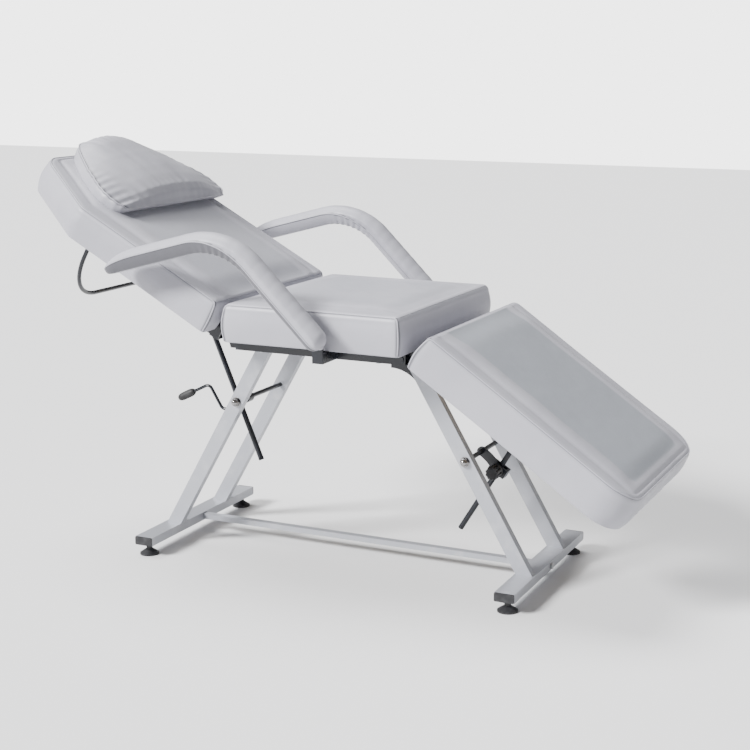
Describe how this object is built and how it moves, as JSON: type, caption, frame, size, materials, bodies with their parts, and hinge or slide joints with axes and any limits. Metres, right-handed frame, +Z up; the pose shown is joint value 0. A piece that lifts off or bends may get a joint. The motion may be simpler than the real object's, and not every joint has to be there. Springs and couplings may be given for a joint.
{
  "type": "tattoo chair",
  "caption": "Reclining client chair on a four-legged steel base, with a fixed seat, tilting backrest and leg rest, curved padded armrests and a headrest pillow.",
  "frame": {"origin": "on the floor, under the middle of the whole chair in its rest pose", "axes": "+X towards the foot end, +Y towards the sitter's left, +Z up"},
  "size_m": [1.686, 0.774, 1.0616],
  "materials": {
    "silver_paint": "satin silver-grey paint",
    "zinc_steel": "zinc plated",
    "polished_steel": "polished",
    "black_paint": "satin black paint",
    "bare_steel": "plain, hidden in the pad",
    "upholstery": "soft white vinyl with a fine grain",
    "plywood": "bare plywood",
    "black_plastic": "matt black"
  },
  "bodies": {
    "base": {"head_floor_bar": "silver_paint", "foot_floor_bar": "silver_paint", "floor_bar_caps": "black_plastic", "foot_inserts": "zinc_steel", "stretcher": "silver_paint", "stretcher_plugs": "zinc_steel", "stretcher_bolts": "zinc_steel", "head_leg_right": "silver_paint", "head_leg_left": "silver_paint", "foot_leg_right": "silver_paint", "foot_leg_left": "silver_paint", "head_cross_rod": "black_paint", "foot_cross_rod": "black_paint", "leg_washers": "polished_steel", "dome_nuts": "polished_steel", "leg_gussets": "black_paint", "seat_frame": "black_paint", "back_hinge_plates": "black_paint", "leg_hinge_pins": "zinc_steel", "seat_board": "plywood", "seat_board_bolts": "zinc_steel", "seat_cushion": "upholstery", "arm_pad_left": "upholstery", "arm_pad_right": "upholstery", "arm_cores": "bare_steel", "arm_brackets": "black_paint", "arm_bolts": "polished_steel", "foot_bracket": "black_paint"},
    "backrest": {"back_frame": "black_paint", "back_board": "plywood", "back_board_bolts": "zinc_steel", "back_cushion": "upholstery", "headrest_pillow": "upholstery", "roll_hoop": "black_paint", "hoop_flanges": "black_paint", "back_hinge_pins": "zinc_steel", "head_strut_pin": "zinc_steel"},
    "leg_rest": {"leg_frame": "black_paint", "leg_board": "plywood", "leg_board_bolts": "zinc_steel", "leg_cushion": "upholstery", "foot_strut_pin": "zinc_steel"},
    "head_strut": {"head_strut": "black_paint"},
    "head_clamp": {"head_clamp": "black_paint"},
    "lock_lever": {"lock_lever": "black_paint", "lever_grip": "black_plastic"},
    "foot_strut": {"foot_strut": "black_paint"},
    "foot_clamp": {"foot_clamp": "black_paint"},
    "foot_knob": {"foot_knob": "black_plastic", "foot_knob_screw": "zinc_steel"},
    "levelling_foot_1": {"levelling_foot_1": "black_plastic"},
    "levelling_foot_2": {"levelling_foot_2": "black_plastic"},
    "levelling_foot_3": {"levelling_foot_3": "black_plastic"},
    "levelling_foot_4": {"levelling_foot_4": "black_plastic"}
  },
  "joints": [
    {"name": "back_recline", "type": "hinge", "parent": "base", "child": "backrest", "pos_m": [-0.22505, 0, 0.66], "axis": [0, 1, 0], "range_deg": [-29, 35]},
    {"name": "leg_tilt", "type": "hinge", "parent": "base", "child": "leg_rest", "pos_m": [0.25975, 0, 0.5805], "axis": [0, -1, 0], "range_deg": [-8, 34.4]},
    {"name": "head_strut_swing", "type": "hinge", "parent": "backrest", "child": "head_strut", "pos_m": [-0.40077, -0.07, 0.67508], "axis": [0, 1, 0], "range_deg": [-26, 21.5]},
    {"name": "head_clamp_swivel", "type": "hinge", "parent": "base", "child": "head_clamp", "pos_m": [-0.25524, -0.07, 0.404], "axis": [0, 1, 0], "range_deg": [-9, 11]},
    {"name": "foot_strut_swing", "type": "hinge", "parent": "leg_rest", "child": "foot_strut", "pos_m": [0.50216, 0, 0.41149], "axis": [0, -1, 0], "range_deg": [-30, 8]},
    {"name": "foot_clamp_swivel", "type": "hinge", "parent": "base", "child": "foot_clamp", "pos_m": [0.41883, 0, 0.2735], "axis": [0, -1, 0], "range_deg": [-2, 7]},
    {"name": "foot_knob_turn", "type": "hinge", "parent": "foot_clamp", "child": "foot_knob", "pos_m": [0.41883, -0.04, 0.2735], "axis": [0, -1, 0], "range_deg": [0, 180]},
    {"name": "lever_swing", "type": "hinge", "parent": "base", "child": "lock_lever", "pos_m": [-0.25524, -0.095, 0.404], "axis": [0, 1, 0], "range_deg": [-30, 25]},
    {"name": "foot_height_1", "type": "slide", "parent": "base", "child": "levelling_foot_1", "axis": [0, 0, 1], "range_m": [-0.01, 0]},
    {"name": "foot_height_2", "type": "slide", "parent": "base", "child": "levelling_foot_2", "axis": [0, 0, 1], "range_m": [-0.01, 0]},
    {"name": "foot_height_3", "type": "slide", "parent": "base", "child": "levelling_foot_3", "axis": [0, 0, 1], "range_m": [-0.01, 0]},
    {"name": "foot_height_4", "type": "slide", "parent": "base", "child": "levelling_foot_4", "axis": [0, 0, 1], "range_m": [-0.01, 0]}
  ],
  "couplings": [
    {"joint": "head_strut_swing", "follows": "back_recline", "ratio": -0.715},
    {"joint": "head_clamp_swivel", "follows": "back_recline", "ratio": 0.285},
    {"joint": "foot_strut_swing", "follows": "leg_tilt", "ratio": -0.835},
    {"joint": "foot_clamp_swivel", "follows": "leg_tilt", "ratio": 0.165}
  ]
}
